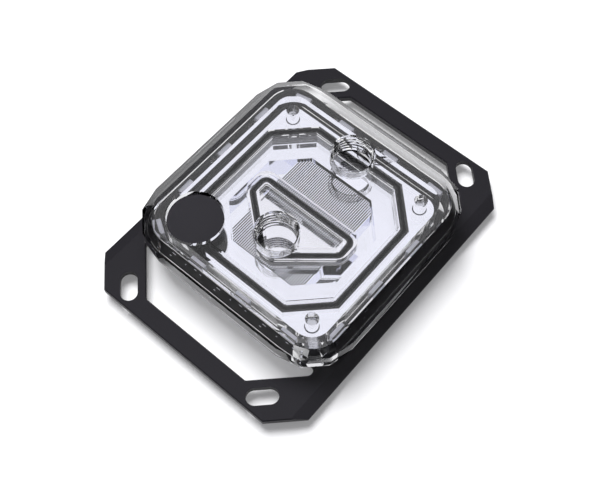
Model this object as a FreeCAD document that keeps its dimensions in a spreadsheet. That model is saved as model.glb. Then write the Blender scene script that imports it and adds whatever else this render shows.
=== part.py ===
"""Liquid-cooling block for a processor: clear top, finned cold plate, bracket, seals and a loop of lights.

Frame: +Z up, origin under the middle of the contact face. X runs along the bracket's short direction,
Y along its long direction. All sizes are in millimetres.
"""
import FreeCAD, Part
import math
import os
import Sketcher

Vector = FreeCAD.Vector
doc = FreeCAD.newDocument("cpu_water_block")

SIZES = {
    # mounting bracket, a flat plate with bevelled long sides
    "bracket_width": 78.0,
    "bracket_length": 103.7,
    "bracket_thickness": 2.0,
    "bracket_corner": 8.8,
    "bracket_edge_break": 0.3,
    "side_bevel_width": 3.5,
    "side_bevel_drop": 1.3,
    "slot_side_margin": 13.5,
    "slot_end_margin": 5.35,
    "slot_width": 5.0,
    "slot_travel": 4.24,
    "window_end_bar": 5.75,
    "window_slot_gap": 6.6,
    "window_screw_gap": 6.8,
    "window_side_bar": 5.0,
    "window_tip_round": 1.8,
    "window_corner_round": 0.8,
    # cold plate: contact pad, flange, pool and fins
    "pad_half": 24.5,
    "pad_cut": 11.6,
    "pad_drop": 3.0,
    "pad_clearance": 0.4,
    "pad_edge_break": 0.5,
    "flange_margin": 4.3,
    "flange_round": 4.5,
    "flange_thickness": 2.5,
    "pool_half_x": 20.5,
    "pool_half_y": 18.1,
    "pool_cut": 9.2,
    "pool_depth": 4.0,
    "fin_count": 44,
    "fin_pitch": 0.65,
    "fin_thickness": 0.3,
    "fin_end_gap": 0.5,
    # clear top: three outlines of the faceted block, then the hollows cut into it
    "top_thickness": 10.9,
    "outer_wall": 4.5,
    "waist_side_cut": 14.8,
    "waist_corner_cut": 4.6,
    "waist_facet": 2.75,
    "upper_bevel_height": 2.8,
    "upper_bevel_run": 3.8,
    "face_corner_cut": 3.5,
    "face_facet": 3.2,
    "lower_bevel_height": 2.9,
    "lower_bevel_run": 2.4,
    "foot_corner_cut": 3.8,
    "foot_facet": 2.9,
    "chamber_half": 23.9,
    "chamber_cut": 9.4,
    "chamber_height": 3.9,
    "island_wall": 1.0,
    "jet_wall": 0.8,
    # inlet and outlet, G1/4: the bore is at the thread's minor diameter
    "port_bore": 11.445,
    "port_mouth": 13.4,
    "port_depth": 7.3,
    "inlet_y": -11.0,
    "outlet_inset": 1.1,
    # seals
    "main_cord": 2.0,
    "main_groove_wall": 0.5,
    "groove_clearance": 0.2,
    "main_seal_round": 2.4,
    "jet_cord": 1.6,
    "jet_seal_round": 2.0,
    "jet_hollow_round": 0.8,
    # inlet chamber: a triangle with cut corners, and the plate with the slot under it
    "jet_half": 17.5,
    "jet_top": 4.0,
    "jet_side_low": -3.4,
    "jet_bottom": -16.2,
    "jet_angle": 40.0,
    "jet_plate_thickness": 0.8,
    "jet_plate_margin": 0.4,
    "jet_slot_half": 14.6,
    "jet_slot_width": 3.2,
    # loop of lights
    "light_groove_margin": 1.2,
    "light_groove_width": 2.6,
    "light_groove_inner_round": 6.0,
    "light_groove_outer_round": 8.4,
    "light_groove_height": 7.8,
    "strip_thickness": 0.4,
    "strip_height": 7.0,
    "strip_lift": 0.4,
    "strip_clearance": 0.05,
    "strip_gap": 10.0,
    "light_count": 14,
    "light_end_gap": 24.4,
    "lights_before_notch": 3,
    "light_side": 5.0,
    "light_thickness": 1.5,
    "light_edge_break": 0.25,
    "wire_notch_width": 4.0,
    "wire_notch_height": 2.4,
    # badge
    "badge_diameter": 16.3,
    "badge_thickness": 1.2,
    "badge_pocket_depth": 2.3,
    "badge_clearance": 0.25,
    "badge_inset_x": 12.5,
    "badge_inset_y": 10.65,
    # screws from below, M4 with a low head; they stand outside the main seal
    "screw_seal_gap": 2.22,
    "screw_diameter": 3.8,
    "screw_length": 10.0,
    "screw_head_diameter": 7.6,
    "screw_head_height": 2.2,
    "screw_key": 2.5,
    "screw_key_depth": 1.3,
    "screw_hole": 4.3,
    "well_diameter": 3.9,
    "well_depth": 8.0,
}

sheet = doc.addObject("Spreadsheet::Sheet", "dim")
for row, (alias, value) in enumerate(SIZES.items(), start=1):
    sheet.set("A%d" % row, alias)
    sheet.set("B%d" % row, str(value))
    sheet.setAlias("B%d" % row, alias)
doc.recompute()

QUADRANTS = (("", ""), ("-", ""), ("-", "-"), ("", "-"))
BRACKET_TOP = "(dim.pad_drop + dim.bracket_thickness)"
DECK = "(dim.pad_drop + dim.bracket_thickness + dim.flange_thickness)"
CUT_GROWTH = "(2 - sqrt(2))"

# the screws stand past the seal's corners, and each outline outwards of them follows the one inside it
SEAL_CORNER = "(2 * dim.chamber_half - dim.chamber_cut) / sqrt(2)"
SEAL_SPACE = "dim.main_groove_wall + dim.main_cord + 2 * dim.groove_clearance"
SCREW = "((%s + %s + dim.screw_seal_gap + dim.well_diameter / 2) / sqrt(2))" % (SEAL_CORNER, SEAL_SPACE)
FLANGE = "(%s + dim.flange_margin)" % SCREW
GROOVE_INNER = "(%s + dim.light_groove_margin)" % FLANGE
GROOVE_OUTER = "(%s + dim.light_groove_width)" % GROOVE_INNER
WAIST = "(%s + dim.outer_wall)" % GROOVE_OUTER
FACE = "(%s - dim.upper_bevel_run)" % WAIST
FOOT = "(%s - dim.lower_bevel_run)" % WAIST
OUTLET_Y = "(dim.chamber_half - dim.outlet_inset)"
BADGE_X = "(dim.badge_inset_x - %s)" % FACE
BADGE_Y = "(dim.badge_inset_y - %s)" % FACE
SLOT_X = "(dim.bracket_width / 2 - dim.slot_side_margin)"
SLOT_Y = "(dim.bracket_length / 2 - dim.slot_end_margin)"
WINDOW_END = "(dim.bracket_length / 2 - dim.window_end_bar)"
WINDOW_HALF = "(%s - dim.window_slot_gap)" % SLOT_X
WINDOW_INNER = "(%s + dim.window_screw_gap)" % SCREW


def size(expression):
    """The value of an expression in the sheet's names."""
    value = sheet.evalExpression(expression)
    return float(getattr(value, "Value", value))


def new_body(label, height="0 mm"):
    body = doc.addObject("PartDesign::Body", label)
    body.Label = label
    body.setExpression("Placement.Base.z", height)
    return body


def new_sketch(body, name, height="0 mm", role="XY_Plane"):
    plane = [item for item in body.Origin.OriginFeatures if item.Role == role][0]
    sketch = body.newObject("Sketcher::SketchObject", name)
    sketch.AttachmentSupport = (plane, [""])
    sketch.MapMode = "FlatFace"
    sketch.setExpression("AttachmentOffset.Base.z", height)
    return sketch


def bind(sketch, kind, places, expression):
    """One dimension of a sketch, tied to the sheet."""
    constraint = sketch.addConstraint(Sketcher.Constraint(kind, *places, size(expression)))
    sketch.setExpression("Constraints[%d]" % constraint, expression)


def bind_point(sketch, geometry, end, x, y):
    bind(sketch, "DistanceX", (-1, 1, geometry, end), x)
    bind(sketch, "DistanceY", (-1, 1, geometry, end), y)


def draw_polygon(sketch, corners):
    """Straight-sided outline; each corner is a pair of expressions."""
    points = [Vector(size(x), size(y), 0) for x, y in corners]
    first = sketch.GeometryCount
    count = len(points)
    for k in range(count):
        sketch.addGeometry(Part.LineSegment(points[k], points[(k + 1) % count]), False)
    for k in range(count):
        following = first + (k + 1) % count
        sketch.addConstraint(Sketcher.Constraint("Coincident", first + k, 2, following, 1))
        bind_point(sketch, first + k, 1, *corners[k])


def draw_circle(sketch, x, y, diameter):
    centre = Vector(size(x), size(y), 0)
    circle = sketch.addGeometry(Part.Circle(centre, Vector(0, 0, 1), size(diameter) / 2), False)
    bind(sketch, "Diameter", (circle,), diameter)
    if abs(centre.x) < 1e-9:
        sketch.addConstraint(Sketcher.Constraint("PointOnObject", circle, 3, -2))
    else:
        bind(sketch, "DistanceX", (-1, 1, circle, 3), x)
    bind(sketch, "DistanceY", (-1, 1, circle, 3), y)


def draw_rounded_square(sketch, half, radius):
    """Square about the origin with round corners: four tangent lines and arcs."""
    h, r = size(half), size(radius)
    first = sketch.GeometryCount
    straight = h - r
    for turn in range(4):
        frame = FreeCAD.Rotation(Vector(0, 0, 1), 90 * turn)
        start = frame.multVec(Vector(-straight, -h, 0))
        end = frame.multVec(Vector(straight, -h, 0))
        centre = frame.multVec(Vector(straight, -straight, 0))
        sketch.addGeometry(Part.LineSegment(start, end), False)
        circle = Part.Circle(centre, Vector(0, 0, 1), r)
        low = math.radians(90 * turn - 90)
        sketch.addGeometry(Part.ArcOfCircle(circle, low, low + math.pi / 2), False)
    for turn in range(4):
        line = first + 2 * turn
        arc = line + 1
        following = first + (2 * turn + 2) % 8
        sketch.addConstraint(Sketcher.Constraint("Tangent", line, 2, arc, 1))
        sketch.addConstraint(Sketcher.Constraint("Tangent", arc, 2, following, 1))
        sketch.addConstraint(Sketcher.Constraint("Vertical" if turn % 2 else "Horizontal", line))
        kind = "DistanceX" if turn % 2 else "DistanceY"
        bind(sketch, kind, (-1, 1, line, 1), half if turn in (1, 2) else "-" + half)
        if turn:
            sketch.addConstraint(Sketcher.Constraint("Equal", first + 1, arc))
    bind(sketch, "Radius", (first + 1,), radius)


def draw_slot(sketch, start, end, width):
    """Slot between two centres: two lines and two half circles."""
    a = Vector(size(start[0]), size(start[1]), 0)
    b = Vector(size(end[0]), size(end[1]), 0)
    r = size(width) / 2
    angle = math.atan2(b.y - a.y, b.x - a.x)
    side = Vector(-math.sin(angle), math.cos(angle), 0) * r
    up = Vector(0, 0, 1)
    first = sketch.GeometryCount
    half_turn = math.pi / 2
    sketch.addGeometry(Part.LineSegment(a - side, b - side), False)
    sketch.addGeometry(Part.ArcOfCircle(Part.Circle(b, up, r), angle - half_turn, angle + half_turn), False)
    sketch.addGeometry(Part.LineSegment(b + side, a + side), False)
    sketch.addGeometry(Part.ArcOfCircle(Part.Circle(a, up, r), angle + half_turn, angle + 3 * half_turn), False)
    for k in range(4):
        following = first + (k + 1) % 4
        sketch.addConstraint(Sketcher.Constraint("Tangent", first + k, 2, following, 1))
    sketch.addConstraint(Sketcher.Constraint("Equal", first + 1, first + 3))
    bind(sketch, "Radius", (first + 1,), width + " / 2")
    bind_point(sketch, first + 1, 3, *end)
    bind_point(sketch, first + 3, 3, *start)


def pad(body, sketch, name, length, down=False):
    feature = body.newObject("PartDesign::Pad", name)
    feature.Profile = sketch
    feature.setExpression("Length", length)
    feature.Reversed = down
    return feature


def pocket(body, sketch, name, length, up=False):
    """Cuts down from the sketch, or up where it says so, and makes sure that it cut something."""
    doc.recompute()
    before = body.Shape.Volume
    feature = body.newObject("PartDesign::Pocket", name)
    feature.Profile = sketch
    feature.setExpression("Length", length)
    feature.Reversed = up
    doc.recompute()
    if body.Shape.Volume > before - 1e-6:
        raise ValueError("%s cuts nothing from %s" % (name, body.Label))
    return feature


def loft(body, lower, upper, name):
    feature = body.newObject("PartDesign::AdditiveLoft", name)
    feature.Profile = lower
    feature.Sections = [upper]
    feature.Ruled = True
    return feature


def upright_edges(shape, places, tolerance=0.05):
    """Names of the vertical edges that stand at the given x, y places."""
    names = []
    for number, edge in enumerate(shape.Edges, start=1):
        if len(edge.Vertexes) != 2:
            continue
        low, high = edge.Vertexes[0].Point, edge.Vertexes[1].Point
        if (low - high).Length < 0.1 or abs(low.x - high.x) > 1e-6 or abs(low.y - high.y) > 1e-6:
            continue
        if any(math.hypot(low.x - x, low.y - y) < tolerance for x, y in places):
            names.append("Edge%d" % number)
    return names


def fillet_upright(body, places, radius, name):
    doc.recompute()
    base = body.Tip
    feature = body.newObject("PartDesign::Fillet", name)
    feature.Base = (base, upright_edges(base.Shape, places))
    feature.setExpression("Radius", radius)
    return feature


def chamfer_face(body, height, amount, name):
    """Breaks every edge of the flat faces at one height of the body."""
    doc.recompute()
    base = body.Tip
    faces = []
    for number, face in enumerate(base.Shape.Faces, start=1):
        box = face.BoundBox
        if abs(box.ZMin - height) < 1e-6 and abs(box.ZMax - height) < 1e-6:
            faces.append("Face%d" % number)
    feature = body.newObject("PartDesign::Chamfer", name)
    feature.Base = (base, faces)
    feature.setExpression("Size", amount)
    return feature


def signed(sign, expression):
    return "%s(%s)" % (sign, expression)


def octagon(half_x, half_y, cut, grow="0"):
    """Rectangle with 45 degree corners, grown outwards by an even margin."""
    x = "(%s + %s)" % (half_x, grow)
    y = "(%s + %s)" % (half_y, grow)
    leg = "(%s + %s * %s)" % (cut, CUT_GROWTH, grow)
    near_x, near_y = "%s - %s" % (x, leg), "%s - %s" % (y, leg)
    return [
        ("-(%s)" % near_x, "-" + y), (near_x, "-" + y),
        (x, "-(%s)" % near_y), (x, near_y),
        (near_x, y), ("-(%s)" % near_x, y),
        ("-" + x, near_y), ("-" + x, "-(%s)" % near_y),
    ]


def faceted_square(half, side, corner, facet):
    """Square with each corner cut into three facets; `corner` is the middle of the 45 degree one."""
    inner, outer = "(%s - %s)" % (corner, facet), "(%s + %s)" % (corner, facet)
    run = [(side, half), (inner, outer), (outer, inner), (half, side)]
    points = []
    for turn in range(4):
        for x, y in run:
            # each quarter turn carries x, -y of the first corner to the next
            points.append(((x, "-" + y), (y, x), ("-" + x, y), ("-" + y, "-" + x))[turn])
    return points


def jet_outline(grow="0"):
    """Triangle with cut corners round the inlet chamber, grown outwards by an even margin."""
    side_turn = "tan((90 - dim.jet_angle) / 2 * 1 deg)"
    base_turn = "tan(dim.jet_angle / 2 * 1 deg)"
    x = "(dim.jet_half + %s)" % grow
    top = "(dim.jet_top + %s)" % grow
    side_low = "(dim.jet_side_low - %s * %s)" % (grow, side_turn)
    bottom = "(dim.jet_bottom - %s)" % grow
    run = "(dim.jet_side_low - dim.jet_bottom) / tan(dim.jet_angle * 1 deg)"
    foot_x = "(dim.jet_half - %s + %s * %s)" % (run, grow, base_turn)
    return [("-" + foot_x, bottom), (foot_x, bottom), (x, side_low), (x, top), ("-" + x, top), ("-" + x, side_low)]


def make_bracket():
    """Plate under the block: two end windows, four slots at 45 degrees, bevelled long sides."""
    body = new_body("mounting_bracket", "dim.pad_drop")
    thickness = "dim.bracket_thickness"
    outline = new_sketch(body, "bracket_outline")
    draw_polygon(outline, octagon("dim.bracket_width / 2", "dim.bracket_length / 2", "dim.bracket_corner"))
    pad(body, outline, "bracket_plate", thickness)

    windows = new_sketch(body, "bracket_windows", thickness)
    tip = "(dim.bracket_width / 2 - dim.window_side_bar)"
    for sign in ("", "-"):
        draw_polygon(windows, [
            ("-" + WINDOW_HALF, sign + WINDOW_END),
            (WINDOW_HALF, sign + WINDOW_END),
            (tip, sign + WINDOW_INNER),
            ("-" + tip, sign + WINDOW_INNER),
        ])
    pocket(body, windows, "end_windows", thickness)
    both = (1, -1)
    tips = [(x * size(tip), y * size(WINDOW_INNER)) for x in both for y in both]
    fillet_upright(body, tips, "dim.window_tip_round", "window_tips")
    ends = [(x * size(WINDOW_HALF), y * size(WINDOW_END)) for x in both for y in both]
    fillet_upright(body, ends, "dim.window_corner_round", "window_corners")
    chamfer_face(body, size(thickness), "dim.bracket_edge_break", "broken_edges")

    # the slots and the openings under the block keep sharp edges
    slots = new_sketch(body, "bracket_slots", thickness)
    reach = "dim.slot_travel / 2 / sqrt(2)"
    for sx, sy in QUADRANTS:
        near = (signed(sx, SLOT_X + " + " + reach), signed(sy, SLOT_Y + " - " + reach))
        far = (signed(sx, SLOT_X + " - " + reach), signed(sy, SLOT_Y + " + " + reach))
        draw_slot(slots, near, far, "dim.slot_width")
    pocket(body, slots, "mounting_slots", thickness)

    middle = new_sketch(body, "bracket_middle", thickness)
    draw_polygon(middle, octagon("dim.pad_half", "dim.pad_half", "dim.pad_cut", "dim.pad_clearance"))
    pocket(body, middle, "pad_opening", thickness)
    holes = new_sketch(body, "bracket_screw_holes", thickness)
    for sx, sy in QUADRANTS:
        draw_circle(holes, sx + SCREW, sy + SCREW, "dim.screw_hole")
    pocket(body, holes, "screw_holes", thickness)

    # the bevel's cutting profile runs past the plate's side at the same slope
    bevels = new_sketch(body, "side_bevels", "0 mm", "XZ_Plane")
    for sign in ("", "-"):
        inner = signed(sign, "dim.bracket_width / 2 - dim.side_bevel_width")
        outer = signed(sign, "dim.bracket_width / 2 + dim.side_bevel_width")
        draw_polygon(bevels, [
            (inner, "dim.bracket_thickness"),
            (outer, "dim.bracket_thickness - 2 * dim.side_bevel_drop"),
            (outer, "dim.bracket_thickness + dim.side_bevel_drop"),
            (inner, "dim.bracket_thickness + dim.side_bevel_drop"),
        ])
    cut = pocket(body, bevels, "bevelled_sides", "2 * dim.bracket_length")
    cut.Midplane = True
    return body


def make_cold_plate():
    """Contact pad and flange in one piece, with fins standing in a pool cut into the deck."""
    body = new_body("cold_plate")
    pad_sketch = new_sketch(body, "pad_outline")
    draw_polygon(pad_sketch, octagon("dim.pad_half", "dim.pad_half", "dim.pad_cut"))
    pad(body, pad_sketch, "contact_pad", BRACKET_TOP)
    chamfer_face(body, 0, "dim.pad_edge_break", "pad_edges")

    flange = new_sketch(body, "flange_outline", BRACKET_TOP)
    draw_rounded_square(flange, FLANGE, "dim.flange_round")
    pad(body, flange, "flange", "dim.flange_thickness")

    pool = new_sketch(body, "pool_outline", DECK)
    draw_polygon(pool, octagon("dim.pool_half_x", "dim.pool_half_y", "dim.pool_cut"))
    pocket(body, pool, "pool", "dim.pool_depth")

    holes = new_sketch(body, "flange_screw_holes", DECK)
    for sx, sy in QUADRANTS:
        draw_circle(holes, sx + SCREW, sy + SCREW, "dim.screw_hole")
    pocket(body, holes, "flange_holes", "dim.flange_thickness")

    # fins: one block with the pool's cut corners, then slots milled through it along Y
    field = "((dim.fin_count - 1) * dim.fin_pitch + dim.fin_thickness) / 2"
    end = "(dim.pool_half_y - dim.fin_end_gap)"
    corner_sum = "(dim.pool_half_x + dim.pool_half_y - dim.pool_cut - dim.fin_end_gap * sqrt(2))"
    shoulder_x = "(%s - %s)" % (corner_sum, end)
    shoulder_y = "(%s - %s)" % (corner_sum, field)
    floor = "(%s - dim.pool_depth)" % DECK
    height = "dim.pool_depth - dim.jet_plate_thickness"
    block = new_sketch(body, "fin_block_outline", floor)
    draw_polygon(block, [
        ("-" + shoulder_x, "-" + end), (shoulder_x, "-" + end),
        (field, "-" + shoulder_y), (field, shoulder_y),
        (shoulder_x, end), ("-" + shoulder_x, end),
        ("-" + field, shoulder_y), ("-" + field, "-" + shoulder_y),
    ])
    pad(body, block, "fin_block", height)
    slot = new_sketch(body, "fin_slot", "%s + %s" % (floor, height))
    left = "(-%s + dim.fin_thickness)" % field
    right = "(-%s + dim.fin_pitch)" % field
    draw_polygon(slot, [(left, "-" + end), (right, "-" + end), (right, end), (left, end)])
    first_gap = pocket(body, slot, "first_fin_gap", height)
    gaps = body.newObject("PartDesign::LinearPattern", "fin_gaps")
    gaps.Originals = [first_gap]
    gaps.Direction = (slot, ["H_Axis"])
    gaps.setExpression("Length", "(dim.fin_count - 2) * dim.fin_pitch")
    gaps.setExpression("Occurrences", "dim.fin_count - 1")
    body.Tip = gaps
    return body


def make_clear_top():
    """Clear block: faceted outside, water chambers, seal grooves, light groove, ports and wells."""
    body = new_body("clear_top", DECK)
    upper = "(dim.top_thickness - dim.upper_bevel_height)"
    # the small top facet runs the same way as the waist's, so each bevel stays flat
    facet_run = "(dim.waist_side_cut - dim.waist_corner_cut - dim.waist_facet)"
    facet_rise = "(dim.waist_corner_cut - dim.waist_facet)"
    halves = {"waist": WAIST, "face": FACE, "foot": FOOT}

    def outline(name, height, sketch_name):
        sketch = new_sketch(body, sketch_name, height)
        half = halves[name]
        facet = "dim.%s_facet" % name
        corner = "(%s - dim.%s_corner_cut)" % (half, name)
        rise = "(dim.%s_corner_cut - %s)" % (name, facet)
        side = "(%s - %s - %s * %s / %s)" % (corner, facet, rise, facet_run, facet_rise)
        draw_polygon(sketch, faceted_square(half, side, corner, facet))
        return sketch

    foot = outline("foot", "0 mm", "foot_outline")
    low_waist = outline("waist", "dim.lower_bevel_height", "low_waist_outline")
    loft(body, foot, low_waist, "lower_bevel")
    waist = outline("waist", "dim.lower_bevel_height", "waist_outline")
    pad(body, waist, "straight_wall", "%s - dim.lower_bevel_height" % upper)
    high_waist = outline("waist", upper, "high_waist_outline")
    face = outline("face", "dim.top_thickness", "face_outline")
    loft(body, high_waist, face, "upper_bevel")

    jet_groove_inner = "(-dim.jet_cord - 2 * dim.groove_clearance)"
    jet_hollow = "(-dim.jet_cord - 2 * dim.groove_clearance - dim.jet_wall)"
    chamber = new_sketch(body, "chamber_outline")
    draw_polygon(chamber, octagon("dim.chamber_half", "dim.chamber_half", "dim.chamber_cut"))
    draw_polygon(chamber, jet_outline("dim.island_wall"))
    pocket(body, chamber, "outlet_chamber", "dim.chamber_height", up=True)

    hollow = new_sketch(body, "jet_hollow_outline")
    draw_polygon(hollow, jet_outline(jet_hollow))
    pocket(body, hollow, "inlet_chamber", "dim.chamber_height", up=True)

    jet_groove = new_sketch(body, "jet_groove_outline")
    draw_polygon(jet_groove, jet_outline())
    draw_polygon(jet_groove, jet_outline(jet_groove_inner))
    pocket(body, jet_groove, "jet_seal_groove", "dim.jet_cord", up=True)

    # the groove turns with the cord, and the walls beside it follow
    for grow, radius, name in (
        ("0", "dim.jet_seal_round + dim.jet_cord / 2 + dim.groove_clearance", "groove_outer_bends"),
        (jet_groove_inner, "dim.jet_seal_round - dim.jet_cord / 2 - dim.groove_clearance", "groove_inner_bends"),
        ("dim.island_wall", "dim.jet_seal_round + dim.jet_cord / 2 + dim.island_wall", "island_bends"),
        (jet_hollow, "dim.jet_hollow_round", "inlet_bends"),
    ):
        places = [(size(x), size(y)) for x, y in jet_outline(grow)]
        fillet_upright(body, places, radius, name)

    main_inner = "dim.main_groove_wall"
    main_outer = "(dim.main_groove_wall + dim.main_cord + 2 * dim.groove_clearance)"
    main_groove = new_sketch(body, "main_groove_outline")
    draw_polygon(main_groove, octagon("dim.chamber_half", "dim.chamber_half", "dim.chamber_cut", main_outer))
    draw_polygon(main_groove, octagon("dim.chamber_half", "dim.chamber_half", "dim.chamber_cut", main_inner))
    pocket(body, main_groove, "main_seal_groove", "dim.main_cord", up=True)

    lights = new_sketch(body, "light_groove_outline")
    draw_rounded_square(lights, GROOVE_OUTER, "dim.light_groove_outer_round")
    draw_rounded_square(lights, GROOVE_INNER, "dim.light_groove_inner_round")
    pocket(body, lights, "light_groove", "dim.light_groove_height", up=True)

    notch = new_sketch(body, "wire_notch_outline")
    notch_start = "(%s - dim.light_groove_outer_round / 2)" % GROOVE_OUTER
    draw_polygon(notch, diagonal_box(notch_start, WAIST, "dim.wire_notch_width"))
    pocket(body, notch, "wire_notch", "dim.wire_notch_height", up=True)

    wells = new_sketch(body, "well_outline")
    for sx, sy in QUADRANTS:
        draw_circle(wells, sx + SCREW, sy + SCREW, "dim.well_diameter")
    pocket(body, wells, "screw_wells", "dim.well_depth", up=True)

    ports = new_sketch(body, "port_outline", "dim.top_thickness")
    for y in ("dim.inlet_y", OUTLET_Y):
        draw_circle(ports, "0", y, "dim.port_bore")
    pocket(body, ports, "ports", "dim.port_depth")

    badge = new_sketch(body, "badge_pocket_outline", "dim.top_thickness")
    draw_circle(badge, BADGE_X, BADGE_Y, "dim.badge_diameter + 2 * dim.badge_clearance")
    pocket(body, badge, "badge_pocket", "dim.badge_pocket_depth")

    doc.recompute()
    base = body.Tip
    rims = []
    for number, edge in enumerate(base.Shape.Edges, start=1):
        box = edge.BoundBox
        flat = abs(box.ZMin - size("dim.top_thickness")) < 1e-6 and box.ZLength < 1e-6
        round_rim = isinstance(edge.Curve, Part.Circle) and abs(edge.Curve.Radius - size("dim.port_bore") / 2) < 1e-6
        if flat and round_rim:
            rims.append("Edge%d" % number)
    mouths = body.newObject("PartDesign::Chamfer", "port_mouths")
    mouths.Base = (base, rims)
    mouths.setExpression("Size", "(dim.port_mouth - dim.port_bore) / 2")
    return body


def diagonal_box(start, end, width):
    """Rectangle across the +X -Y corner, between two distances along each axis."""
    half = "%s / 2 / sqrt(2)" % width
    return [
        ("%s - %s" % (start, half), "-(%s + %s)" % (start, half)),
        ("%s + %s" % (start, half), "-(%s - %s)" % (start, half)),
        ("%s + %s" % (end, half), "-(%s - %s)" % (end, half)),
        ("%s - %s" % (end, half), "-(%s + %s)" % (end, half)),
    ]


def make_jet_plate():
    """Thin plate that closes the inlet chamber, with one slot across the fins."""
    body = new_body("jet_plate", DECK + " - dim.jet_plate_thickness")
    outline = new_sketch(body, "jet_plate_outline")
    draw_polygon(outline, jet_outline("dim.jet_plate_margin"))
    pad(body, outline, "jet_sheet", "dim.jet_plate_thickness")
    slot = new_sketch(body, "jet_slot_outline", "dim.jet_plate_thickness")
    reach = "(dim.jet_slot_half - dim.jet_slot_width / 2)"
    middle = "(dim.jet_slot_width / 16)"
    draw_slot(slot, ("-" + reach, middle), (reach, middle), "dim.jet_slot_width")
    pocket(body, slot, "jet_slot", "dim.jet_plate_thickness")
    return body


def make_light_strip():
    """Flexible board that stands on edge in the groove, open at the corner where its wires leave."""
    body = new_body("led_strip", DECK + " + dim.strip_lift")
    outline = new_sketch(body, "strip_outline")
    for inset in ("dim.strip_clearance", "(dim.strip_clearance + dim.strip_thickness)"):
        draw_rounded_square(outline, "(%s - %s)" % (GROOVE_OUTER, inset),
                            "(dim.light_groove_outer_round - %s)" % inset)
    pad(body, outline, "strip_board", "dim.strip_height")
    gap = new_sketch(body, "strip_gap_outline")
    gap_start = "(%s - dim.light_groove_outer_round)" % GROOVE_OUTER
    draw_polygon(gap, diagonal_box(gap_start, GROOVE_OUTER, "dim.strip_gap"))
    pocket(body, gap, "strip_gap", "dim.strip_height", up=True)
    return body


def light_place(number):
    """Middle of a light's back and its heading, from the distance along the strip's inner face.

    The distance starts in the middle of the wire corner and runs by the -Y side round the block. The lights
    share the loop evenly, but for the wider gap between the last and the first.
    """
    half = size(GROOVE_OUTER + " - dim.strip_clearance - dim.strip_thickness")
    radius = size("dim.light_groove_outer_round - dim.strip_clearance - dim.strip_thickness")
    chord = size("dim.light_side")
    straight = half - radius
    quarter = radius * math.pi / 2
    side = 2 * straight + quarter
    pitch = (4 * side - size("dim.light_end_gap")) / (size("dim.light_count") - 1)
    distance = (number + 0.5 - size("dim.lights_before_notch")) * pitch
    # turn 0 is the -X side; the side before it starts half a bend past the wire corner
    turn, along = divmod(distance - quarter / 2 - side, side)
    # the light's back corners touch the strip: beside and on a bend its middle stands off by the sagitta
    if along <= 2 * straight:
        past = max(chord / 2 - along, along + chord / 2 - 2 * straight, 0)
        point = Vector(-half + radius - math.sqrt(radius ** 2 - past ** 2), along - straight, 0)
        heading = 0.0
    else:
        heading = -math.degrees((along - 2 * straight) / radius)
        middle = Vector(-straight, straight, 0)
        reach = math.sqrt(radius ** 2 - chord ** 2 / 4)
        outward = FreeCAD.Rotation(Vector(0, 0, 1), heading).multVec(Vector(-1, 0, 0))
        point = middle + outward * reach
    spin = FreeCAD.Rotation(Vector(0, 0, 1), -90 * turn)
    return spin.multVec(point), heading - 90 * turn


def make_light(number):
    """Square case standing on the strip's inner face, its front edges broken."""
    label = "led_%02d" % (number + 1)
    body = new_body(label)
    outline = new_sketch(body, label + "_outline")
    half = "dim.light_side / 2"
    draw_polygon(outline, [("-" + half, "-" + half), (half, "-" + half), (half, half), ("-" + half, half)])
    pad(body, outline, label + "_case", "dim.light_thickness")
    chamfer_face(body, size("dim.light_thickness"), "dim.light_edge_break", label + "_front")
    place, heading = light_place(number)
    # the case is padded along Z, so it is tipped over to face the middle of the block
    tip_over = FreeCAD.Rotation(Vector(0, 1, 0), 90)
    turn = FreeCAD.Rotation(Vector(0, 0, 1), heading)
    place.z = size(DECK + " + dim.strip_lift + dim.strip_height / 2")
    body.setExpression("Placement.Base.z", None)
    body.Placement = FreeCAD.Placement(place, turn.multiply(tip_over))
    return body


def rounded_path(corners, radius):
    """Closed wire through the corners, each rounded by an arc."""
    points = [Vector(size(x), size(y), 0) for x, y in corners]
    count = len(points)
    arcs, starts, ends = [], [], []
    for k, corner in enumerate(points):
        back = (points[k - 1] - corner).normalize()
        forward = (points[(k + 1) % count] - corner).normalize()
        half = math.acos(back.dot(forward)) / 2
        reach = radius / math.tan(half)
        starts.append(corner + back * reach)
        ends.append(corner + forward * reach)
        middle = corner + (back + forward).normalize() * (radius / math.sin(half) - radius)
        arcs.append(Part.Arc(starts[k], middle, ends[k]).toShape())
    edges = []
    for k in range(count):
        edges += [arcs[k], Part.LineSegment(ends[k], starts[(k + 1) % count]).toShape()]
    return Part.Wire(edges)


def make_seal(label, corners, cord, radius, height):
    """Moulded rubber cord swept round a closed path; its ten-sided section lies flat on the deck."""
    path = rounded_path(corners, radius)
    line = path.Edges[1]
    start = line.valueAt(line.FirstParameter)
    aside = line.tangentAt(line.FirstParameter).cross(Vector(0, 0, 1))
    reach = cord / 2 / math.cos(math.pi / 10)
    turns = [math.pi * k / 5 for k in range(11)]
    rim = [start + aside * reach * math.cos(turn) + Vector(0, 0, reach * math.sin(turn)) for turn in turns]
    section = Part.makePolygon(rim)
    seal = doc.addObject("Part::Feature", label)
    seal.Label = label
    seal.Shape = path.makePipeShell([section], True, False, 2)
    seal.Placement = FreeCAD.Placement(Vector(0, 0, height), FreeCAD.Rotation())
    return seal


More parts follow.
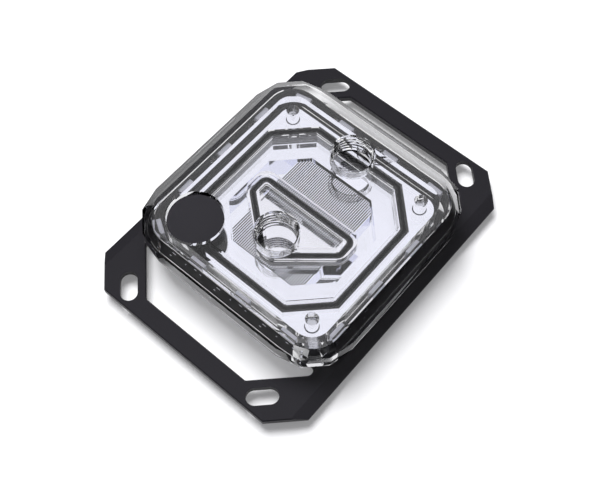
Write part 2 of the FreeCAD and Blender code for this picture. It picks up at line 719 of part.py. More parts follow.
def make_badge():
    """Plain black disc that sits on the floor of its pocket."""
    floor = DECK + " + dim.top_thickness - dim.badge_pocket_depth"
    body = new_body("badge_disc", floor)
    body.setExpression("Placement.Base.x", BADGE_X)
    body.setExpression("Placement.Base.y", BADGE_Y)
    outline = new_sketch(body, "badge_outline")
    circle = outline.addGeometry(Part.Circle(Vector(0, 0, 0), Vector(0, 0, 1), size("dim.badge_diameter") / 2), False)
    outline.addConstraint(Sketcher.Constraint("Coincident", circle, 3, -1, 1))
    bind(outline, "Diameter", (circle,), "dim.badge_diameter")
    pad(body, outline, "badge_blank", "dim.badge_thickness")
    return body


def make_screw(number, sx, sy):
    """Low-headed screw: turned profile, then a hexagon socket in the head, which points down."""
    label = "plate_screw_%d" % number
    body = new_body(label, "dim.pad_drop")
    body.setExpression("Placement.Base.x", sx + SCREW)
    body.setExpression("Placement.Base.y", sy + SCREW)
    sketch = new_sketch(body, label + "_profile", "0 mm", "XZ_Plane")
    head, shank = "dim.screw_head_diameter / 2", "dim.screw_diameter / 2"
    crown = "dim.screw_head_height"
    points = [
        ("0", "-" + crown), (head, "-" + crown), (head, "0"),
        (shank, "0"), (shank, "dim.screw_length"), ("0", "dim.screw_length"),
    ]
    places = [Vector(size(x), size(y), 0) for x, y in points]
    count = len(places)
    for k in range(count):
        sketch.addGeometry(Part.LineSegment(places[k], places[(k + 1) % count]), False)
    for k in range(count):
        sketch.addConstraint(Sketcher.Constraint("Coincident", k, 2, (k + 1) % count, 1))
    for k, (x, y) in enumerate(points):
        # zero distances lie on the sketch's own axes
        if x == "0":
            sketch.addConstraint(Sketcher.Constraint("PointOnObject", k, 1, -2))
        else:
            bind(sketch, "DistanceX", (-1, 1, k, 1), x)
        if y == "0":
            sketch.addConstraint(Sketcher.Constraint("PointOnObject", k, 1, -1))
        else:
            bind(sketch, "DistanceY", (-1, 1, k, 1), y)
    turned = body.newObject("PartDesign::Revolution", label + "_turned")
    turned.Profile = sketch
    turned.ReferenceAxis = (sketch, ["V_Axis"])
    turned.Angle = 360

    socket = new_sketch(body, label + "_socket", "-" + crown)
    flat = "dim.screw_key / 2"
    point_x = "dim.screw_key / sqrt(3)"
    half_x = "dim.screw_key / sqrt(3) / 2"
    corners = [("-" + half_x, "-" + flat), (half_x, "-" + flat), (point_x, None),
               (half_x, flat), ("-" + half_x, flat), ("-" + point_x, None)]
    draw_socket(socket, corners)
    pocket(body, socket, label + "_key", "dim.screw_key_depth", up=True)
    return body


def draw_socket(sketch, corners):
    """Hexagon whose two side points lie on the X axis."""
    points = [Vector(size(x), size(y) if y else 0, 0) for x, y in corners]
    count = len(points)
    for k in range(count):
        sketch.addGeometry(Part.LineSegment(points[k], points[(k + 1) % count]), False)
    for k in range(count):
        sketch.addConstraint(Sketcher.Constraint("Coincident", k, 2, (k + 1) % count, 1))
    for k, (x, y) in enumerate(corners):
        bind(sketch, "DistanceX", (-1, 1, k, 1), x)
        if y:
            bind(sketch, "DistanceY", (-1, 1, k, 1), y)
        else:
            sketch.addConstraint(Sketcher.Constraint("PointOnObject", k, 1, -1))


parts = [make_bracket(), make_cold_plate(), make_clear_top(), make_jet_plate(), make_light_strip()]
parts += [make_light(number) for number in range(int(size("dim.light_count")))]
parts.append(make_badge())
parts += [make_screw(number, sx, sy) for number, (sx, sy) in enumerate(QUADRANTS, start=1)]

main_middle = "(dim.main_groove_wall + dim.groove_clearance + dim.main_cord / 2)"
main_corners = octagon("dim.chamber_half", "dim.chamber_half", "dim.chamber_cut", main_middle)
parts.append(make_seal("main_seal", main_corners, size("dim.main_cord"), size("dim.main_seal_round"),
                       size(DECK + " + dim.main_cord / 2")))
jet_corners = jet_outline("(-dim.groove_clearance - dim.jet_cord / 2)")
parts.append(make_seal("jet_seal", jet_corners, size("dim.jet_cord"), size("dim.jet_seal_round"),
                       size(DECK + " + dim.jet_cord / 2")))

doc.recompute()
for item in doc.Objects:
    if "Invalid" in item.State or "Error" in item.State:
        raise ValueError("%s failed: %s" % (item.Label, item.State))
os.makedirs("parts", exist_ok=True)
for item in parts:
    shape = item.Shape
    if shape.isNull() or not shape.isValid() or len(shape.Solids) != 1:
        raise ValueError("%s is not one sound solid" % item.Label)
    shape.exportStep(os.path.join("parts", item.Label + ".step"))
print("%d parts written" % len(parts))
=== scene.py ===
"""Looks of a liquid-cooling block for a processor: clear top, bright finned plate, black slotted bracket."""

import math

import bmesh
import bpy
from mathutils import Matrix, Vector


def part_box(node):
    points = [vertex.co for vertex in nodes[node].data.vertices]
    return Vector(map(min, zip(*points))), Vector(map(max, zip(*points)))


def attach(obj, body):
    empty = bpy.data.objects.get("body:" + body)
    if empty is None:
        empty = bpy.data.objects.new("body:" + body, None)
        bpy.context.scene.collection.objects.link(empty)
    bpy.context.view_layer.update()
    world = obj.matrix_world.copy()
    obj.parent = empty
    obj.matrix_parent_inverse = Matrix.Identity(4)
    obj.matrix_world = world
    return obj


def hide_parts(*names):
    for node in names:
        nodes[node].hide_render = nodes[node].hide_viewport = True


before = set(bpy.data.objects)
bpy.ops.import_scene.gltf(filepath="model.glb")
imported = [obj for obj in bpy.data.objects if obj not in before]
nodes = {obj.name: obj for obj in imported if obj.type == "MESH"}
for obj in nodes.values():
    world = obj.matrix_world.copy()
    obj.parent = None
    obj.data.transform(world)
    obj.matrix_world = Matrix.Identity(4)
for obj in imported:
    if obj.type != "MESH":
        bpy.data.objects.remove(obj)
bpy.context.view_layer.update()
MM = 0.001


# finishes

def srgb(code, alpha=1.0):
    """A hex colour as linear values."""
    channels = [int(code[k:k + 2], 16) / 255 for k in (1, 3, 5)]
    linear = [c / 12.92 if c <= 0.04045 else ((c + 0.055) / 1.055) ** 2.4 for c in channels]
    return (*linear, alpha)


def add_node(tree, kind, settings=None, links=None):
    """Adds one node; settings name its attributes or inputs, links feed its inputs from other sockets."""
    node = tree.nodes.new(kind)
    for name, value in (settings or {}).items():
        if name in node.inputs:
            node.inputs[name].default_value = value
        else:
            setattr(node, name, value)
    for name, source in (links or {}).items():
        tree.links.new(source, node.inputs[name])
    return node


def new_material(name, **surface):
    """A material with its shader's own sockets set; returns it with its tree and shader."""
    material = bpy.data.materials.new(name)
    material.use_nodes = True
    tree = material.node_tree
    shader = tree.nodes["Principled BSDF"]
    for socket, value in surface.items():
        shader.inputs[socket.replace("_", " ")].default_value = value
    return material, tree, shader


def grain(tree, shader, size_mm, depth_mm, strength=1.0, stretch=(1, 1, 1), detail=2.0):
    """Fine surface relief of a given grain size, read from the piece's own coordinates."""
    where = add_node(tree, "ShaderNodeTexCoord")
    scaled = add_node(tree, "ShaderNodeMapping", {"Scale": stretch}, {"Vector": where.outputs["Object"]})
    noise = add_node(tree, "ShaderNodeTexNoise", {"Scale": 1 / (size_mm * MM), "Detail": detail},
                     {"Vector": scaled.outputs["Vector"]})
    bump = add_node(tree, "ShaderNodeBump", {"Strength": strength, "Distance": depth_mm * MM},
                    {"Height": noise.outputs["Fac"]})
    tree.links.new(bump.outputs["Normal"], shader.inputs["Normal"])


def cast_acrylic():
    """Cast acrylic, milled and polished: clear as glass."""
    material, tree, shader = new_material(
        "cast_acrylic_polished", Base_Color=srgb("#ffffff"), Roughness=0.0, IOR=1.49, Transmission_Weight=1.0)
    return material


def nickel_plate():
    """Bright nickel over milled copper: a mirror, very slightly clouded."""
    material, tree, shader = new_material(
        "nickel_plated_copper", Base_Color=srgb("#f0f1fa"), Metallic=1.0, Roughness=0.05)
    grain(tree, shader, 0.9, 0.002, 0.15)
    return material


def painted_steel():
    """Black powder coat on steel plate: satin, with a faint orange peel."""
    material, tree, shader = new_material(
        "powder_coated_steel", Base_Color=srgb("#201f23"), Roughness=0.42, Specular_IOR_Level=0.22)
    grain(tree, shader, 0.35, 0.01, 0.35)
    return material


def moulded_rubber():
    """Moulded nitrile rubber cord: dark grey with a soft sheen."""
    material, tree, shader = new_material(
        "nitrile_rubber_moulded", Base_Color=srgb("#1d1d20"), Roughness=0.6, Specular_IOR_Level=0.15)
    grain(tree, shader, 0.25, 0.006, 0.3)
    return material


def rolled_steel():
    """Rolled stainless sheet: bright, with a faint grain along its length."""
    material, tree, shader = new_material(
        "stainless_sheet_rolled", Base_Color=srgb("#f0f0f6"), Metallic=1.0, Roughness=0.07)
    grain(tree, shader, 0.12, 0.002, 0.2, stretch=(0.1, 1, 1))
    return material


def flexible_board():
    """Flexible polyimide board under black solder mask."""
    material, tree, shader = new_material(
        "polyimide_board_black", Base_Color=srgb("#121114"), Roughness=0.45, Specular_IOR_Level=0.15)
    grain(tree, shader, 0.6, 0.004, 0.25)
    return material


def light_case():
    """White moulded thermoplastic case of a light."""
    material, tree, shader = new_material(
        "thermoplastic_white_moulded", Base_Color=srgb("#eeeefa"), Roughness=0.3)
    grain(tree, shader, 0.3, 0.003, 0.2)
    return material


def silicone_gel():
    """Clear silicone that fills a light's cup: glossy, faintly warm."""
    material, tree, shader = new_material(
        "silicone_gel_clear", Base_Color=srgb("#f4f2ec"), Roughness=0.08, IOR=1.41, Transmission_Weight=0.85)
    grain(tree, shader, 0.5, 0.002, 0.2)
    return material


def solder_tin():
    """Solder on tinned pads: bright, softly uneven."""
    material, tree, shader = new_material(
        "solder_tinned", Base_Color=srgb("#dfe0e8"), Metallic=1.0, Roughness=0.22)
    grain(tree, shader, 0.3, 0.02, 0.4)
    return material


def chip_ceramic():
    """Fired ceramic of the small chips beside each light: dull grey-brown."""
    material, tree, shader = new_material(
        "ceramic_chip_fired", Base_Color=srgb("#6a6460"), Roughness=0.55)
    grain(tree, shader, 0.1, 0.003, 0.3)
    return material


def satin_disc():
    """Black anodised aluminium disc, turned and bead blasted."""
    material, tree, shader = new_material(
        "anodised_aluminium_black", Base_Color=srgb("#2a292d"), Roughness=0.6, Specular_IOR_Level=0.2)
    grain(tree, shader, 0.12, 0.004, 0.3)
    return material


def screw_steel():
    """Bright zinc-plated screw steel."""
    material, tree, shader = new_material(
        "zinc_plated_steel", Base_Color=srgb("#c9cad2"), Metallic=1.0, Roughness=0.2)
    grain(tree, shader, 0.2, 0.004, 0.2)
    return material


def dress(name, material):
    """Gives a carried-over node its finish."""
    mesh = nodes[name].data
    mesh.materials.clear()
    mesh.materials.append(material)


# pieces

def soften(mesh, limit_degrees=32):
    """Smooth faces, with every edge sharper than the limit kept crisp."""
    work = bmesh.new()
    work.from_mesh(mesh)
    limit = math.radians(limit_degrees)
    for face in work.faces:
        face.smooth = True
    for edge in work.edges:
        edge.smooth = len(edge.link_faces) == 2 and edge.calc_face_angle(0) < limit
    work.to_mesh(mesh)
    work.free()


def new_piece(name, mesh, material, slot, *stands_for):
    piece = bpy.data.objects.new(name, mesh)
    bpy.context.scene.collection.objects.link(piece)
    mesh.materials.clear()
    mesh.materials.append(material)
    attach(piece, "root")
    if stands_for:
        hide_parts(*stands_for)
    return piece


# all in millimetres
PIPE_PITCH = 1.337
PIPE_MINOR = 5.7225
PIPE_MAJOR = 6.5785
TOP_FACE = 18.4
PORT_FLOOR = 11.1
INLET_Y = -11.0
OUTLET_Y = 22.8


def thread_radius(turn_share, height):
    """Radius of a G1/4 tap at an angle and height above the port's floor, both walls at 55 degrees."""
    phase = (height / PIPE_PITCH - turn_share) % 1.0
    away = abs(phase - 0.5) * 2
    ridge = min(1.0, max(0.0, (0.86 - away) / 0.72))
    # the tap runs out over the last turn above the floor
    run_out = min(1.0, max(0.0, (height - 0.5) / 0.9))
    return PIPE_MINOR + 0.02 + (PIPE_MAJOR - PIPE_MINOR) * ridge * run_out


def tap_mesh(x, y):
    """Closed solid of the threaded hole: cut from the block, it leaves the real helical thread."""
    around, step = 112, PIPE_PITCH / 12
    top = TOP_FACE + 0.4 - PORT_FLOOR
    rows = [-0.01] + [k * step for k in range(1, int(top / step))] + [top]
    work = bmesh.new()
    rings = []
    for height in rows:
        ring = []
        for k in range(around):
            share = k / around
            radius = thread_radius(share, height)
            angle = 2 * math.pi * share
            spot = (x + radius * math.cos(angle), y + radius * math.sin(angle), PORT_FLOOR + height)
            ring.append(work.verts.new(Vector(spot) * MM))
        rings.append(ring)
    for lower, upper in zip(rings, rings[1:]):
        for k in range(around):
            following = (k + 1) % around
            work.faces.new((lower[k], lower[following], upper[following], upper[k]))
    work.faces.new(list(reversed(rings[0])))
    work.faces.new(rings[-1])
    bmesh.ops.recalc_face_normals(work, faces=work.faces)
    mesh = bpy.data.meshes.new("tap")
    work.to_mesh(mesh)
    work.free()
    return mesh


DECK = 7.5
BADGE_FLOOR = 16.1
HAIR = 0.02


def settle(mesh):
    """A hair's gap over the plate and a hair's bite on the glued disc: light meets one surface at a time."""
    for vertex in mesh.vertices:
        height = vertex.co.z / MM
        if abs(height - DECK) < 0.001:
            vertex.co.z = (DECK + HAIR) * MM
        if abs(height - BADGE_FLOOR) < 0.001 and vertex.co.x < -0.01 and vertex.co.y < -0.01:
            vertex.co.z = (BADGE_FLOOR + HAIR) * MM


def make_clear_top(material):
    """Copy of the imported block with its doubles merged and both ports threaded."""
    mesh = nodes["clear_top"].data.copy()
    work = bmesh.new()
    work.from_mesh(mesh)
    bmesh.ops.remove_doubles(work, verts=work.verts, dist=1e-6)
    bmesh.ops.dissolve_limit(work, angle_limit=math.radians(0.05), verts=work.verts, edges=work.edges)
    work.to_mesh(mesh)
    work.free()
    block = bpy.data.objects.new("block_blank", mesh)
    bpy.context.scene.collection.objects.link(block)
    taps = []
    for number, y in enumerate((INLET_Y, OUTLET_Y)):
        tap = bpy.data.objects.new("tap_%d" % number, tap_mesh(0, y))
        bpy.context.scene.collection.objects.link(tap)
        cut = block.modifiers.new("port_%d" % number, "BOOLEAN")
        cut.operation = "DIFFERENCE"
        cut.solver = "EXACT"
        cut.object = tap
        taps.append(tap)
    bpy.context.view_layer.update()
    graph = bpy.context.evaluated_depsgraph_get()
    threaded = bpy.data.meshes.new_from_object(block.evaluated_get(graph))
    for spare in taps + [block]:
        bpy.data.objects.remove(spare)
    threaded.name = "threaded_clear_top"
    settle(threaded)
    soften(threaded)
    return new_piece("threaded_clear_top", threaded, material, "clear_acrylic", "clear_top")


# swept pieces: the two seals and the strip behind the lights

def rounded_path(corners, radius, steps=16):
    """Closed flat path with rounded corners, counter-clockwise: places in millimetres, each with its normal."""
    path = []
    count = len(corners)
    for k in range(count):
        corner = Vector(corners[k])
        back = (Vector(corners[k - 1]) - corner).normalized()
        ahead = (Vector(corners[(k + 1) % count]) - corner).normalized()
        half = back.angle(ahead) / 2
        centre = corner + (back + ahead).normalized() * (radius / math.sin(half))
        arm = corner + back * (radius / math.tan(half)) - centre
        for step in range(steps + 1):
            normal = (Matrix.Rotation((math.pi - 2 * half) * step / steps, 2) @ arm).normalized()
            path.append((centre + normal * radius, normal))
    return path


def sweep_mesh(name, path, section, closed=True):
    """Carries a section along a path; each of its points is a reach outwards and a height."""
    work = bmesh.new()
    rows = []
    for spot, normal in path:
        places = [(spot.x + normal.x * out, spot.y + normal.y * out, height) for out, height in section]
        rows.append([work.verts.new(Vector(place) * MM) for place in places])
    count = len(section)
    pairs = list(zip(rows, rows[1:])) + ([(rows[-1], rows[0])] if closed else [])
    for here, there in pairs:
        for k in range(count):
            following = (k + 1) % count
            work.faces.new((here[k], here[following], there[following], there[k]))
    if not closed:
        work.faces.new(rows[0])
        work.faces.new(list(reversed(rows[-1])))
    bmesh.ops.recalc_face_normals(work, faces=work.faces)
    mesh = bpy.data.meshes.new(name)
    work.to_mesh(mesh)
    work.free()
    return mesh


def pressed_cord(width, height, floor, squareness=3.2, around=32):
    """Section of a cord pressed flat between the deck and its groove's roof."""
    section = []
    for k in range(around):
        c, s = math.cos(2 * math.pi * k / around), math.sin(2 * math.pi * k / around)
        across = math.copysign(abs(c) ** (2 / squareness), c) * width / 2
        up = math.copysign(abs(s) ** (2 / squareness), s) * height / 2
        section.append((across, floor + height / 2 + up))
    return section


def octagon(half, leg):
    near = half - leg
    return [(-near, -half), (near, -half), (half, -near), (half, near),
            (near, half), (-near, half), (-half, near), (-half, -near)]


def make_seal(name, node, corners, radius, groove_width, groove_depth, material):
    """Moulded cord that fills its groove between the deck and the clear block."""
    # the pressed rubber wets the groove's roof, so it bites into it by a hair
    section = pressed_cord(groove_width - 0.06, groove_depth, DECK + HAIR)
    mesh = sweep_mesh(name, rounded_path(corners, radius), section)
    soften(mesh, 50)
    return new_piece(name, mesh, material, "seal_rubber", node)


# the strip is glued to the groove's outer wall and bites into it by a hair
STRIP_HALF = 32.08
STRIP_ROUND = 8.18
STRIP_THICKNESS = 0.48
STRIP_LOW = 7.9
STRIP_HIGH = 14.9
STRIP_GAP = 10.0


def strip_path():
    """The strip's middle line from one side of the wire corner round to the other."""
    half = STRIP_HALF
    square = [(-half, -half), (half, -half), (half, half), (-half, half)]
    loop = rounded_path(square, STRIP_ROUND, steps=40)
    kept = [abs(spot.x + spot.y) / math.sqrt(2) > STRIP_GAP / 2 or spot.x < 0 for spot, normal in loop]
    first = next(k for k in range(len(loop)) if kept[k] and not kept[k - 1])
    turned = loop[first:] + loop[:first]
    return turned[:sum(kept)]


def make_strip(material):
    """Thin flexible board on edge, its long edges slightly rounded."""
    t, low, high, edge = STRIP_THICKNESS / 2, STRIP_LOW, STRIP_HIGH, 0.08
    section = [(-t, low + edge), (-t + edge, low), (t - edge, low), (t, low + edge),
               (t, high - edge), (t - edge, high), (-t + edge, high), (-t, high - edge)]
    mesh = sweep_mesh("light_strip", strip_path(), section, closed=False)
    soften(mesh)
    return new_piece("light_strip", mesh, material, "strip_board", "led_strip")


# turned pieces, and units that are set out many times

def turned_mesh(name, rows, around, lean=None):
    """Closed shell about the Z axis; each row is a height and a radius, which may be worked out by angle."""
    work = bmesh.new()
    rings = []
    for height, radius in rows:
        ring = []
        for k in range(around):
            angle = 2 * math.pi * k / around
            reach = radius(angle, height) if callable(radius) else radius
            spot = (reach * math.cos(angle), reach * math.sin(angle), height)
            ring.append(work.verts.new(Vector(spot) * MM))
        rings.append(ring)
    for lower, upper in zip(rings, rings[1:]):
        for k in range(around):
            following = (k + 1) % around
            work.faces.new((lower[k], lower[following], upper[following], upper[k]))
    for ring, height in ((rings[0], rows[0][0]), (rings[-1], rows[-1][0])):
        middle = work.verts.new((0, 0, height * MM))
        for k in range(around):
            work.faces.new((ring[k], ring[(k + 1) % around], middle))
    if lean:
        bmesh.ops.transform(work, matrix=lean, verts=work.verts)
    bmesh.ops.recalc_face_normals(work, faces=work.faces)
    mesh = bpy.data.meshes.new(name)
    work.to_mesh(mesh)
    work.free()
    soften(mesh)
    return mesh


def flats(sides, reach):
    """Radius of a regular outline with flat sides, each at the given reach from the middle."""
    share = 2 * math.pi / sides
    return lambda angle, height: reach / math.cos((angle + share / 2) % share - share / 2)


def prism_mesh(name, blocks):
    """Small blocks with a sloped outer face: x from, x to at the near and far side, then both y's and z's."""
    work = bmesh.new()
    for x0, near, far, y0, y1, z0, z1 in blocks:
        places = [(x0, y0, z0), (near, y0, z0), (far, y1, z0), (x0, y1, z0),
                  (x0, y0, z1), (near, y0, z1), (far, y1, z1), (x0, y1, z1)]
        corners = [work.verts.new(Vector(place) * MM) for place in places]
        for face in ((3, 2, 1, 0), (4, 5, 6, 7), (0, 1, 5, 4), (1, 2, 6, 5), (2, 3, 7, 6), (3, 0, 4, 7)):
            work.faces.new([corners[k] for k in face])
    bmesh.ops.recalc_face_normals(work, faces=work.faces)
    mesh = bpy.data.meshes.new(name)
    work.to_mesh(mesh)
    work.free()
    return mesh


def set_out_tree():
    """Node tree that places a unit on every point, turned about Z by the point's heading."""
    tree = bpy.data.node_groups.new("set_out_on_points", "GeometryNodeTree")
    sockets = tree.interface
    sockets.new_socket("Geometry", in_out="INPUT", socket_type="NodeSocketGeometry")
    unit = sockets.new_socket("Unit", in_out="INPUT", socket_type="NodeSocketObject")
    finish = sockets.new_socket("Finish", in_out="INPUT", socket_type="NodeSocketMaterial")
    sockets.new_socket("Geometry", in_out="OUTPUT", socket_type="NodeSocketGeometry")
    start = add_node(tree, "NodeGroupInput")
    shape = add_node(tree, "GeometryNodeObjectInfo", links={"Object": start.outputs["Unit"]})
    heading = add_node(tree, "GeometryNodeInputNamedAttribute", {"data_type": "FLOAT", "Name": "heading"})
    turn = add_node(tree, "ShaderNodeCombineXYZ", links={"Z": heading.outputs["Attribute"]})
    spin = add_node(tree, "FunctionNodeEulerToRotation", links={"Euler": turn.outputs["Vector"]})
    copies = add_node(tree, "GeometryNodeInstanceOnPoints", links={
        "Points": start.outputs["Geometry"],
        "Instance": shape.outputs["Geometry"],
        "Rotation": spin.outputs["Rotation"]})
    solid = add_node(tree, "GeometryNodeRealizeInstances", links={"Geometry": copies.outputs["Instances"]})
    coated = add_node(tree, "GeometryNodeSetMaterial", links={
        "Geometry": solid.outputs["Geometry"], "Material": start.outputs["Finish"]})
    add_node(tree, "NodeGroupOutput", links={"Geometry": coated.outputs["Geometry"]})
    return tree, unit.identifier, finish.identifier


def set_out(name, unit_mesh, spots, material, slot, *stands_for):
    """One piece from a unit repeated on the spots; each spot is a place in metres and a heading."""
    points = bpy.data.meshes.new(name + "_points")
    points.from_pydata([place for place, heading in spots], [], [])
    headings = points.attributes.new("heading", "FLOAT", "POINT")
    for k, (place, heading) in enumerate(spots):
        headings.data[k].value = heading
    carrier = bpy.data.objects.new(name + "_carrier", points)
    unit = bpy.data.objects.new(name + "_unit", unit_mesh)
    for item in (carrier, unit):
        bpy.context.scene.collection.objects.link(item)
    tree, unit_socket, finish_socket = SET_OUT
    modifier = carrier.modifiers.new("set_out", "NODES")
    modifier.node_group = tree
    modifier[unit_socket] = unit
    modifier[finish_socket] = material
    bpy.context.view_layer.update()
    graph = bpy.context.evaluated_depsgraph_get()
    mesh = bpy.data.meshes.new_from_object(carrier.evaluated_get(graph))
    mesh.name = name
    for item in (carrier, unit):
        bpy.data.objects.remove(item)
    return new_piece(name, mesh, material, slot, *stands_for)


def light_spots():
    """Middle and heading of each packed light; the broad face towards the block's middle gives it."""
    spots = []
    for name in sorted(nodes):
        if not name.startswith("led_") or name == "led_strip":
            continue
        low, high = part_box(name)
        middle = (Vector(low) + Vector(high)) / 2
        broad = max(nodes[name].data.polygons, key=lambda face: face.area).normal
        inward = broad if broad.dot(middle) < 0 else -broad
        spots.append((middle, math.atan2(inward.y, inward.x)))
    return spots


def beside(spots, along, reach=0.0):
    """Spots moved along the strip, clockwise, and off its face."""
    moved = []
    for place, heading in spots:
        ahead = Vector((math.sin(heading), -math.cos(heading), 0))
        inward = Vector((math.cos(heading), math.sin(heading), 0))
        moved.append((place + ahead * (along * MM) + inward * (reach * MM), heading))
    return moved


LIGHT_HALF = 2.5
LIGHT_DEPTH = 0.75
TIP_OVER = Matrix.Rotation(math.radians(90), 4, "Y")


def make_lights(case, gel, solder, ceramic):
    """Fourteen moulded cases with a gel-filled cup, six soldered feet each and two small chips beside."""
    spots = light_spots()
    square = flats(4, LIGHT_HALF)
    case_rows = [(-LIGHT_DEPTH, square), (0.5, square), (0.68, flats(4, 2.36)), (0.68, 2.06), (0.1, 1.7)]
    case_mesh = turned_mesh("light_case", case_rows, 40, TIP_OVER)
    lights = ["led_%02d" % number for number in range(1, len(spots) + 1)]
    set_out("light_cases", case_mesh, spots, case, "light_case", *lights)
    gel_rows = [(0.12, 1.69), (0.62, 2.0), (0.68, 1.7), (0.72, 1.0)]
    set_out("light_gel", turned_mesh("gel_fill", gel_rows, 32, TIP_OVER), spots, gel, "light_case")

    back, slope = -LIGHT_DEPTH + 0.01, 0.28
    feet = []
    for z in (-1.65, 0.0, 1.65):
        for side in (-1, 1):
            y0, y1 = side * (LIGHT_HALF - 0.1), side * (LIGHT_HALF + 0.55)
            feet.append((back, back + slope, back + 0.06, y0, y1, z - 0.4, z + 0.4))
    set_out("light_feet", prism_mesh("feet", feet), spots, solder, "strip_board")
    chips, ends = [], []
    for z in (-1.5, 1.2):
        chips.append((back, back + 0.5, back + 0.5, -0.45, 0.45, z - 0.4, z + 0.4))
        for side in (-1, 1):
            y0, y1 = side * 0.46, side * 0.95
            ends.append((back, back + 0.52, back + 0.1, y0, y1, z - 0.42, z + 0.42))
    set_out("chip_bodies", prism_mesh("chips", chips), beside(spots, 4.6), ceramic, "strip_board")
    set_out("chip_ends", prism_mesh("ends", ends), beside(spots, 4.6), solder, "strip_board")

    # small tinned test pads on the strip's back, about each light
    glued = -LIGHT_DEPTH - STRIP_THICKNESS
    places = [(-3.1, 1.6, 0.5), (-1.2, 2.2, 0.9), (2.4, 1.1, 0.4), (6.9, 1.9, 1.3), (8.1, -0.4, 0.6)]
    pads = [(glued - 0.02, glued + 0.02, glued + 0.02, y - wide / 2, y + wide / 2, z - 0.2, z + 0.2)
            for y, z, wide in places]
    set_out("back_pads", prism_mesh("back_pads", pads), spots, solder, "strip_board")


SHANK_CORE = 1.58
SHANK_CREST = 1.9
SCREW_PITCH = 0.7
THREAD_START = 2.4
THREAD_END = 9.4
HEAD_HEIGHT = 2.2
STEPS_A_TURN = 6


def shank_radius(angle, height):
    """Radius of the rolled M4 thread."""
    phase = (height / SCREW_PITCH - angle / (2 * math.pi)) % 1.0
    return SHANK_CORE + (SHANK_CREST - SHANK_CORE) * min(1.0, 1.2 * abs(phase - 0.5) * 2)


def make_screws(material):
    """Four low-headed socket screws, up from the bracket into the block."""
    key = flats(6, 1.25)
    rows = [(-0.9, key), (-HEAD_HEIGHT, key), (-HEAD_HEIGHT, 2.9), (-2.12, 3.3), (-1.9, 3.6), (-1.5, 3.78)]
    rows += [(-0.15, 3.8), (0.0, 3.7), (0.0, SHANK_CREST), (2.0, SHANK_CREST), (2.2, SHANK_CORE)]
    steps = int((THREAD_END - THREAD_START) / SCREW_PITCH * STEPS_A_TURN)
    rows += [(THREAD_START + k * SCREW_PITCH / STEPS_A_TURN, shank_radius) for k in range(steps + 1)]
    rows += [(9.6, SHANK_CORE), (10.0, 1.3)]
    spots, names = [], []
    for name in sorted(nodes):
        if name.startswith("plate_screw_"):
            low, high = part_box(name)
            under_head = Vector(((low[0] + high[0]) / 2, (low[1] + high[1]) / 2, low[2] + HEAD_HEIGHT * MM))
            spots.append((under_head, 0.0))
            names.append(name)
    set_out("socket_screws", turned_mesh("socket_screw", rows, 36), spots, material, "screw_steel", *names)


def make_disc(material):
    """Turned disc with a fine rounded rim, bare on top."""
    low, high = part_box("badge_disc")
    radius = (high[0] - low[0]) / 2 / MM
    tall = (high[2] - low[2]) / MM
    rows = [(0.0, radius - 0.1), (0.1, radius), (tall - 0.16, radius), (tall - 0.05, radius - 0.05)]
    rows += [(tall, radius - 0.16)]
    mesh = turned_mesh("badge_blank", rows, 128)
    middle = Vector(((low[0] + high[0]) / 2, (low[1] + high[1]) / 2, low[2]))
    mesh.transform(Matrix.Translation(middle))
    return new_piece("badge_blank", mesh, material, "badge_black", "badge_disc")


SET_OUT = set_out_tree()
acrylic = cast_acrylic()
nickel = nickel_plate()
bracket_coat = painted_steel()
rubber = moulded_rubber()
sheet_steel = rolled_steel()
board = flexible_board()
tin = solder_tin()

dress("cold_plate", nickel)
dress("mounting_bracket", bracket_coat)
dress("jet_plate", sheet_steel)
make_clear_top(acrylic)
make_seal("outer_cord", "main_seal", octagon(25.6, 10.396), 2.4, 2.4, 2.0, rubber)
# the inlet chamber's outline, a triangle with cut corners
inlet_corners = [(-1.882, -15.2), (1.882, -15.2), (16.5, -2.934), (16.5, 3.0), (-16.5, 3.0), (-16.5, -2.934)]
make_seal("inlet_cord", "jet_seal", inlet_corners, 2.0, 2.0, 1.6, rubber)
make_strip(board)
make_lights(light_case(), silicone_gel(), tin, chip_ceramic())
make_screws(screw_steel())
make_disc(satin_disc())


# stage, lights and camera

def seen_directly(tree):
    """1 for a ray from the camera, off gloss or through glass; 0 for the light that falls on the object."""
    path = add_node(tree, "ShaderNodeLightPath")
    gloss = add_node(tree, "ShaderNodeMath", {"operation": "MAXIMUM"})
    tree.links.new(path.outputs["Is Camera Ray"], gloss.inputs[0])
    tree.links.new(path.outputs["Is Glossy Ray"], gloss.inputs[1])
    every = add_node(tree, "ShaderNodeMath", {"operation": "MAXIMUM"})
    tree.links.new(gloss.outputs["Value"], every.inputs[0])
    tree.links.new(path.outputs["Is Transmission Ray"], every.inputs[1])
    return every.outputs["Value"]


def make_floor():
    """White paper with a painted white glow mixed in where it is seen, so that only part of the object's shadow
    stays.
    """
    mesh = bpy.data.meshes.new("floor")
    reach = 3.0
    corners = [(-reach, -reach, 0), (reach, -reach, 0), (reach, reach, 0), (-reach, reach, 0)]
    mesh.from_pydata(corners, [], [(0, 1, 2, 3)])
    floor = bpy.data.objects.new("floor", mesh)
    bpy.context.scene.collection.objects.link(floor)
    floor.location.z = -0.00002
    material, tree, shader = new_material("floor_paper", Base_Color=srgb("#fbfbfd"), Roughness=0.9)
    # painted glow: for camera, gloss and glass rays the paper is a fifth white glow, which lightens the
    # object's shadow on it
    painted_glow = add_node(tree, "ShaderNodeEmission", {"Color": srgb("#fefeff"), "Strength": 1.0})
    share = add_node(tree, "ShaderNodeMath", {"operation": "MULTIPLY"})
    tree.links.new(seen_directly(tree), share.inputs[0])
    share.inputs[1].default_value = 0.2
    both = add_node(tree, "ShaderNodeMixShader", links={"Fac": share.outputs["Value"]})
    tree.links.new(shader.outputs["BSDF"], both.inputs[1])
    tree.links.new(painted_glow.outputs["Emission"], both.inputs[2])
    tree.links.new(both.outputs["Shader"], tree.nodes["Material Output"].inputs["Surface"])
    mesh.materials.append(material)


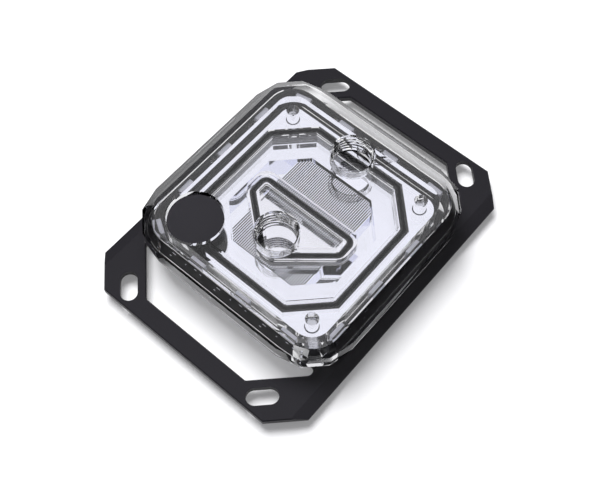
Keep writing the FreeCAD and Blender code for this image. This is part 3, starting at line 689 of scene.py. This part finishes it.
def make_dark_cards():
    """Black cards round the stage, seen only in gloss: they draw dark edges on clear and bright pieces."""
    mesh = bpy.data.meshes.new("dark_cards")
    reach, tall = 0.32, 0.42
    corners = [(-reach, -reach), (reach, -reach), (reach, reach), (-reach, reach)]
    places = [(x, y, z) for z in (0.001, tall) for x, y in corners]
    mesh.from_pydata(places, [], [(k, (k + 1) % 4, 4 + (k + 1) % 4, 4 + k) for k in range(4)])
    cards = bpy.data.objects.new("dark_cards", mesh)
    bpy.context.scene.collection.objects.link(cards)
    material, tree, shader = new_material(
        "black_card", Base_Color=srgb("#0c0c0d"), Roughness=1.0, Specular_IOR_Level=0.0)
    mesh.materials.append(material)
    cards.visible_camera = False
    cards.visible_diffuse = False
    cards.visible_shadow = False
    cards.visible_transmission = False


def make_world():
    """Pale sky: white where it is seen, and weaker as light on the object."""
    world = bpy.data.worlds.new("studio")
    bpy.context.scene.world = world
    world.use_nodes = True
    tree = world.node_tree
    shader = tree.nodes["Background"]
    shader.inputs["Color"].default_value = srgb("#fbfbff")
    level = add_node(tree, "ShaderNodeMapRange", {"To Min": 0.2, "To Max": 1.0},
                     {"Value": seen_directly(tree)})
    tree.links.new(level.outputs["Result"], shader.inputs["Strength"])


def make_lamp(name, place, aim, size, power):
    """Square area lamp aimed at a place; size in metres, power in watts."""
    lamp = bpy.data.lights.new(name, "AREA")
    lamp.shape = "SQUARE"
    lamp.size = size
    lamp.energy = power
    holder = bpy.data.objects.new(name, lamp)
    bpy.context.scene.collection.objects.link(holder)
    holder.location = place
    holder.rotation_euler = (Vector(aim) - Vector(place)).to_track_quat("-Z", "Y").to_euler()
    # no hard patch of it in the clear top or the plate
    holder.visible_glossy = False
    holder.visible_transmission = False


def make_camera():
    """Camera at the photograph's view, found from the bracket's corners and slots."""
    camera = bpy.data.objects.new("camera", bpy.data.cameras.new("camera"))
    bpy.context.scene.collection.objects.link(camera)
    place = Vector((0.0933, -0.1099, 0.2689))
    aim = Vector((0.00213, -0.00336, 0.005))
    turn = (aim - place).to_track_quat("-Z", "Y").to_matrix().to_4x4()
    roll = Matrix.Rotation(math.radians(-0.1), 4, "Z")
    camera.matrix_world = Matrix.Translation(place) @ turn @ roll
    camera.data.sensor_width = 36.0
    camera.data.lens = 61.14
    camera.data.clip_start = 0.01
    bpy.context.scene.camera = camera


make_floor()
make_dark_cards()
make_world()
make_lamp("soft_left", (-0.33, 0.12, 0.8), (0, 0, 0), 0.5, 11.0)
make_camera()
view = bpy.context.scene.view_settings
view.view_transform = "Standard"
